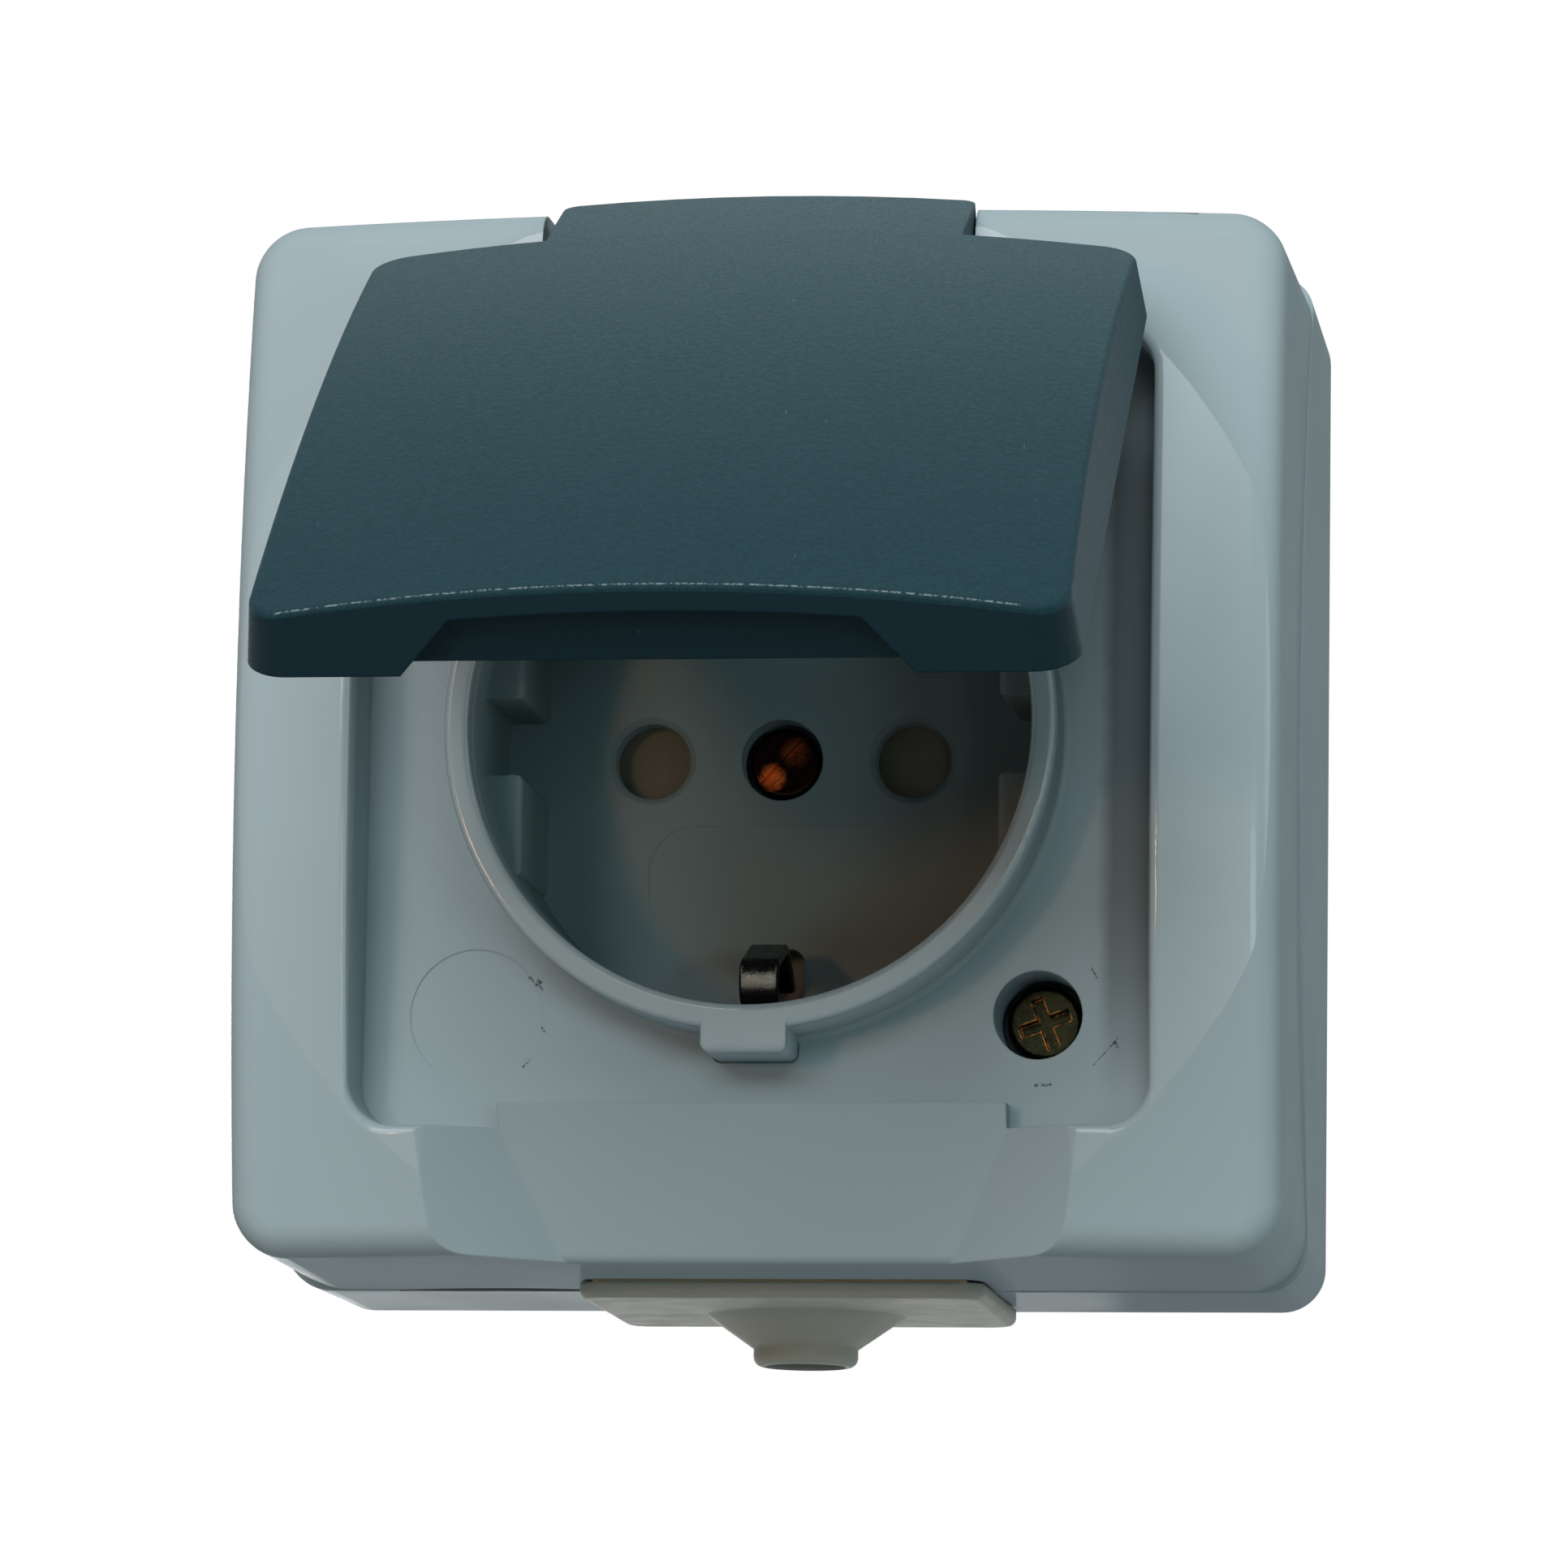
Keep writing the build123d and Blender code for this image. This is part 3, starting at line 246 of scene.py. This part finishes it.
dusty = Finish("dusty grommet lip", Specular_IOR_Level=0.2)
dusty.show(
    Base_Color=dusty.mix(dusty.noise(300, 4), colour(152, 132, 106), colour(172, 152, 124)),
    Roughness=dusty.ramp(dusty.noise(600), (0.3, 0.55), (0.7, 0.75)),
    Normal=dusty.bump(dusty.noise(2500, 4), 0.00004),
)

lip_length = 0.0272
lip_depth = 0.0011
lip_height = 0.0008
lip_round = lip_height * 0.48
lip_middle = (0, -0.02492, -0.03748)
bpy.ops.mesh.primitive_cube_add(size=1, location=lip_middle)
grommet_lip = bpy.context.object
grommet_lip.name = "grommet_lip"
bpy.ops.object.transform_apply(location=True, rotation=True, scale=True)
bpy.ops.object.mode_set(mode="EDIT")
bpy.ops.mesh.select_all(action="SELECT")
bpy.ops.transform.resize(value=(lip_length, lip_depth, lip_height), center_override=lip_middle)
bpy.ops.mesh.bevel(offset=lip_round, segments=5, affect="EDGES")
bpy.ops.object.mode_set(mode="OBJECT")
bpy.ops.object.shade_smooth()
grommet_lip.data.materials.append(dusty.material)
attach(grommet_lip, "housing")
bpy.ops.object.select_all(action="DESELECT")


# Lid.
# A dark slate blue moulding with a fine spark-eroded grain. It turns on a steel pin in the top
# bar of the cover; a highlight along its lower edge is painted as light specks, and its lip has painted
# shade.
slate = Finish("slate grained lid", Specular_IOR_Level=0.1)
across, inward, upward = slate.along("X"), slate.along("Y"), slate.along("Z")

# the lid's own directions as it stands half open: raised is out of its face, down_lid is along it
open_sine, open_cosine = 0.793, 0.609
hinge_offset = 0.04635
bend = 2.78
raised = upward * open_sine - inward * open_cosine
lifted = raised + across * across * bend
down_lid = upward * open_cosine + inward * open_sine + hinge_offset
crown = lifted + down_lid * down_lid * bend

grain = slate.noise(5200, 3, 0.6)
mottle = slate.noise(2300, 3, 0.6)
tone = slate.mix(slate.noise(60, 4), colour(15, 43, 51), colour(22, 50, 58))
tone = slate.mix(slate.ramp(grain, (0.42, 0.0), (0.6, 0.2)), tone, colour(38, 70, 78))
tone = slate.mix(slate.ramp(mottle, (0.4, 0.0), (0.62, 0.4)), tone, colour(32, 62, 71))

lip_top, face_level = -0.0254, 0.0593
# painted shade: the lip, which faces down, is darkened
on_lip = (down_lid < lip_top) * (crown < face_level)
tone = slate.mix(on_lip * 0.85, tone, colour(10, 33, 40))

# painted highlight: light specks along the lid's lower edge, where it catches the light
lip_draft, lip_edge = 0.138, 0.03485
line_low, line_high, line_level = 0.00004, 0.00013, 0.0572
half_line_squared = 0.0006
from_lip = down_lid - raised * lip_draft + lip_edge
low_edge = (from_lip > line_low) * (from_lip < line_high) * (lifted > line_level)
low_edge = low_edge * (across * across < half_line_squared)
edge_highlight = low_edge * slate.ramp(slate.noise(3800, 2), (0.42, 0.0), (0.58, 0.5))
stretched = slate.node("ShaderNodeMapping", (), {"Vector": slate.place, "Scale": (1.0, 0.25, 0.25)})
nicks = slate.ramp(slate.noise(1400, 2, place=stretched), (0.76, 0.0), (0.8, 0.2))
slate.show(
    Base_Color=slate.mix(edge_highlight + nicks, tone, colour(150, 168, 172)),
    Roughness=slate.ramp(grain, (0.3, 0.5), (0.7, 0.66)),
    Normal=slate.bump(grain + mottle, 0.000024, slate.soft_edge(0.0002)),
)
slate.coat("lid")


# Inner pieces: seals, carrier, contacts, earth strip, screws, shutter and spring.
# Black soft seals in their grooves, beige moulded insulation, contacts of rolled brass and a plated
# steel strip, held by steel screws; the centre screw is of dull copper with two painted glints on its
# head, and the metals have painted glints on their edges.
seal = Finish("black soft seal", Specular_IOR_Level=0.3)
seal.show(
    Base_Color=seal.mix(seal.noise(300), colour(38, 40, 41), colour(52, 54, 54)),
    Roughness=seal.ramp(seal.noise(900), (0.3, 0.55), (0.7, 0.7)),
)
seal.coat("lid_seal", "box_seal", "cover_screw_seals")

beige = Finish("beige insulation", Specular_IOR_Level=0.35)
beige.show(
    Base_Color=beige.mix(beige.noise(200), colour(88, 85, 73), colour(104, 99, 86)),
    Roughness=beige.ramp(beige.noise(700), (0.3, 0.4), (0.7, 0.55)),
)
beige.coat("contact_carrier")

dim = Finish("grey beige shutter", Specular_IOR_Level=0.35)
dim.show(
    Base_Color=dim.mix(dim.noise(260), colour(82, 82, 68), colour(98, 96, 80)),
    Roughness=dim.ramp(dim.noise(700), (0.3, 0.3), (0.7, 0.45)),
)
dim.coat("shutter")


def metal(name, light, dark, edge_glint, rough, *names):
    """A metal finish of two tones, with a third painted as glints where its edges catch the light."""
    made = Finish(name, Metallic=1.0)
    tone = made.mix(made.noise(700, 4), colour(*light), colour(*dark))
    # painted glints: the third tone on sharp edges, in patches
    patches = made.ramp(made.noise(1300, 2), (0.42, 0.0), (0.6, 1.0))
    edges = (made.edge_share(0.0002) > 0.03) * patches
    made.show(
        Base_Color=made.mix(edges, tone, colour(*edge_glint)),
        Roughness=made.ramp(made.noise(1500, 4), (0.3, rough), (0.7, rough + 0.18)),
        Normal=made.bump(made.noise(3000, 4), 0.00003, made.soft_edge(0.0001)),
    )
    made.coat(*names)


metal("rolled brass", (196, 166, 96), (160, 132, 72), (214, 188, 120), 0.3,
      "live_contact", "neutral_contact")
metal("yellow passivated steel", (36, 35, 22), (14, 17, 12), (150, 98, 44), 0.2,
      "cover_screws", "terminal_screws")
metal("plated strip", (98, 97, 90), (44, 45, 42), (128, 128, 120), 0.2,
      "earth_bracket")
metal("steel", (170, 172, 174), (130, 132, 134), (190, 192, 194), 0.28,
      "contact_springs", "terminal_clamps", "carrier_screws", "shutter_spring", "hinge_pin")

copper = Finish("dull copper screw", Metallic=1.0)
across, upward = copper.along("X"), copper.along("Z")


def glint_spot(x, z, radius, share):
    """A painted glint: a place where the screw's dark head shows light copper, as its turned face catches
    the light.
    """
    off_x = (across - x) * (1 / radius)
    off_z = (upward - z) * (1 / radius)
    away = off_x * off_x + off_z * off_z + (copper.noise(1600, 3) - 0.5) * 0.8
    return copper.ramp(away, (0.0, share), (1.0, 0.0))


# painted glints: two spots of light copper on the head, a strong one low on the left and a faint one high
# on the right
glint_spots = glint_spot(-0.0009, -0.001, 0.0011, 0.9) + glint_spot(0.0007, 0.0008, 0.0012, 0.2)
tone = copper.mix(copper.noise(900, 4), colour(30, 20, 14), colour(9, 9, 8))
copper.show(
    Base_Color=copper.mix(glint_spots, tone, colour(206, 104, 50)),
    Roughness=copper.ramp(copper.noise(1500, 4), (0.3, 0.22), (0.7, 0.4)),
    Normal=copper.bump(copper.noise(3000, 4), 0.00003, copper.soft_edge(0.0001)),
)
copper.coat("centre_screw")


# Foot of the well's collar.
# The collar comes up through the recess floor and closes on it with a small hollow fillet of the
# same moulding: a ring whose edge is drawn up in steps round the collar.
foot_r = 0.02168
fillet_r = 0.0005
floor_y = -0.03874
ring_points = 160
steps = 6
bpy.ops.mesh.primitive_circle_add(
    vertices=ring_points, radius=foot_r + fillet_r, location=(0, floor_y, 0), rotation=(math.pi / 2, 0, 0)
)
collar_foot = bpy.context.object
collar_foot.name = "collar_foot"
bpy.ops.object.transform_apply(location=True, rotation=True, scale=True)
bpy.ops.object.mode_set(mode="EDIT")
bpy.ops.mesh.select_all(action="SELECT")
reach, rise = foot_r + fillet_r, 0.0
for step in range(1, steps + 1):
    turn = step / steps * math.pi / 2
    next_reach = foot_r + fillet_r * (1 - math.sin(turn))
    next_rise = fillet_r * (1 - math.cos(turn))
    bpy.ops.mesh.extrude_edges_move(TRANSFORM_OT_translate={"value": (0, rise - next_rise, 0)})
    share = next_reach / reach
    bpy.ops.transform.resize(value=(share, 1, share), center_override=(0, 0, 0))
    reach, rise = next_reach, next_rise
bpy.ops.mesh.select_all(action="SELECT")
bpy.ops.mesh.normals_make_consistent(inside=False)
bpy.ops.object.mode_set(mode="OBJECT")
bpy.ops.object.shade_smooth()
collar_foot.data.materials.append(housing.material)
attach(collar_foot, "housing")
bpy.ops.object.select_all(action="DESELECT")


# Screw threads.
# Rolled threads where the screws bite, of each screw's own metal: one small triangle drawn round the
# shank and along it, from the tip up to the end of the hole.
def thread(name, x, z, tip, top, radius, pitch, source):
    """A thread on the screws of one CAD node, from tip to top as distances out from the wall."""
    ridge = pitch * 0.4
    facets = 20
    bpy.ops.mesh.primitive_circle_add(
        vertices=3, radius=ridge, fill_type="NOTHING", rotation=(0, 0, -math.pi / 2)
    )
    made = bpy.context.object
    made.name = name
    bpy.ops.object.transform_apply(location=True, rotation=True, scale=True)
    bpy.ops.object.mode_set(mode="EDIT")
    bpy.ops.mesh.select_all(action="SELECT")
    bpy.ops.transform.translate(value=(radius, 0, 0))
    bpy.ops.object.mode_set(mode="OBJECT")
    turns = made.modifiers.new("turns", "SCREW")
    turns.axis = "Y"
    turns.screw_offset = -pitch
    turns.iterations = int((top - tip) / pitch)
    turns.steps = facets
    turns.render_steps = facets
    bpy.ops.object.modifier_apply(modifier="turns")
    made.location = (x, -tip - pitch / 2, z)
    bpy.ops.object.transform_apply(location=True, rotation=True, scale=True)
    bpy.ops.object.shade_smooth_by_angle(angle=math.radians(40))
    made.data.materials.append(nodes[source].data.materials[0])
    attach(made, "housing")
    bpy.ops.object.select_all(action="DESELECT")


cover_screw_at = 0.02
carrier_screw_at = 0.0175
terminal_z = -0.011
for number, side in enumerate((1, -1), 1):
    thread(f"cover_screw_thread_{number}", side * cover_screw_at, side * -cover_screw_at,
           0.0108, 0.0198, 0.0014, 0.0012, "cover_screws")
    thread(f"carrier_screw_thread_{number}", side * carrier_screw_at, side * carrier_screw_at,
           0.004, 0.01, 0.0014, 0.0012, "carrier_screws")
thread("centre_screw_thread", 0, 0,
       0.0146, 0.0216, 0.0015, 0.0005, "centre_screw")
for number, x in enumerate((-0.011, 0, 0.011), 1):
    thread(f"terminal_screw_thread_{number}", x, terminal_z,
           0.01, 0.015, 0.0015, 0.0005, "terminal_screws")


# Floor, light and camera.
# A pale floor far below, a large soft lamp high in front, weak lamps at the right, behind and, warm,
# low on the left, and the photograph's view: from the right and below, with a long lens.
floor_size = 1.2
floor_z = -0.8
bpy.ops.mesh.primitive_plane_add(size=floor_size, location=(0, 0, floor_z))
floor = bpy.context.object
floor.name = "floor"
paper = bpy.data.materials.new("pale floor")
paper.use_nodes = True
paper.node_tree.nodes["Principled BSDF"].inputs["Base Color"].default_value = (0.85, 0.85, 0.85, 1)
paper.node_tree.nodes["Principled BSDF"].inputs["Roughness"].default_value = 0.9
floor.data.materials.append(paper)

world = bpy.data.worlds.new("studio")
bpy.context.scene.world = world
world.use_nodes = True
links = world.node_tree.links
room = world.node_tree.nodes["Background"]
room.inputs["Color"].default_value = (0.9, 1.0, 1.03, 1)
room.inputs["Strength"].default_value = 0.09
white = world.node_tree.nodes.new("ShaderNodeBackground")
white.inputs["Color"].default_value = (1, 1, 1, 1)
white.inputs["Strength"].default_value = 1.0
path = world.node_tree.nodes.new("ShaderNodeLightPath")
seen = world.node_tree.nodes.new("ShaderNodeMath")
seen.operation = "MAXIMUM"
links.new(path.outputs["Is Camera Ray"], seen.inputs[0])
links.new(path.outputs["Is Transmission Ray"], seen.inputs[1])
seen_any = world.node_tree.nodes.new("ShaderNodeMath")
seen_any.operation = "MAXIMUM"
links.new(seen.outputs[0], seen_any.inputs[0])
links.new(path.outputs["Is Glossy Ray"], seen_any.inputs[1])
choice = world.node_tree.nodes.new("ShaderNodeMixShader")
links.new(seen_any.outputs[0], choice.inputs[0])
links.new(room.outputs[0], choice.inputs[1])
links.new(white.outputs[0], choice.inputs[2])
links.new(choice.outputs[0], world.node_tree.nodes["World Output"].inputs["Surface"])


def lamp(name, place, target, wide, tall, watts, tint):
    """A rectangular soft lamp that faces the target."""
    light = bpy.data.lights.new(name, "AREA")
    light.shape = "RECTANGLE"
    light.size = wide
    light.size_y = tall
    light.energy = watts
    light.color = tint
    held = bpy.data.objects.new(name, light)
    held.location = place
    held.rotation_euler = (Vector(place) - Vector(target)).to_track_quat("Z", "Y").to_euler()
    bpy.context.scene.collection.objects.link(held)
    return held


lamp("key lamp", (-0.13, -1.06, 0.64), (0, -0.03, 0), 1.0, 1.0, 15.2, (0.95, 1.0, 1.03))
lamp("right lamp", (0.705, -1.015, -0.05), (0, -0.04, 0), 0.25, 0.25, 0.95, (0.7, 1.0, 1.0))
lamp("strip lamp", (0.455, -1.27, -0.07), (0, -0.04, 0), 0.07, 0.32, 0.3, (0.95, 1.0, 1.0))
lamp("low lamp", (-0.45, -1.0, -0.4), (0, -0.04, 0), 0.4, 0.4, 0.25, (0.92, 1.0, 1.02))
lamp("warm lamp", (-0.49, -1.14, 0.03), (0, -0.04, 0), 0.1, 0.1, 1.3, (1.0, 0.55, 0.28))
lamp("side lamp", (1.25, -0.05, 0.25), (0, -0.03, 0), 0.8, 0.8, 3.5, (0.92, 1.0, 1.0))
lamp("top lamp", (-0.1, 0.75, 0.95), (0, -0.05, 0), 0.5, 0.5, 1.9, (0.65, 1.0, 1.05))
back_lamp = lamp("back lamp", (-0.35, 1.25, 0.1), (0, 0, 0), 0.5, 0.5, 0.5, (0.98, 1.0, 1.0))
back_lamp.data.spread = math.radians(40)

yaw = 0.141
pitch = 0.1522
roll = 0.0156
camera_place = (0.08583, -0.63116, -0.09526)
back = Vector((math.sin(yaw) * math.cos(pitch), -math.cos(yaw) * math.cos(pitch), -math.sin(pitch)))
level = Vector((math.cos(yaw), math.sin(yaw), 0))
upright = back.cross(level)
right = level * math.cos(roll) + upright * math.sin(roll)
up = upright * math.cos(roll) - level * math.sin(roll)
lens = bpy.data.cameras.new("photograph")
lens.sensor_width = 36
lens.lens = 196.33
camera = bpy.data.objects.new("photograph", lens)
camera.matrix_world = Matrix.Translation(camera_place) @ Matrix(
    ((right.x, up.x, back.x), (right.y, up.y, back.y), (right.z, up.z, back.z))
).to_4x4()
bpy.context.scene.collection.objects.link(camera)
bpy.context.scene.camera = camera
bpy.context.scene.view_settings.view_transform = "Standard"
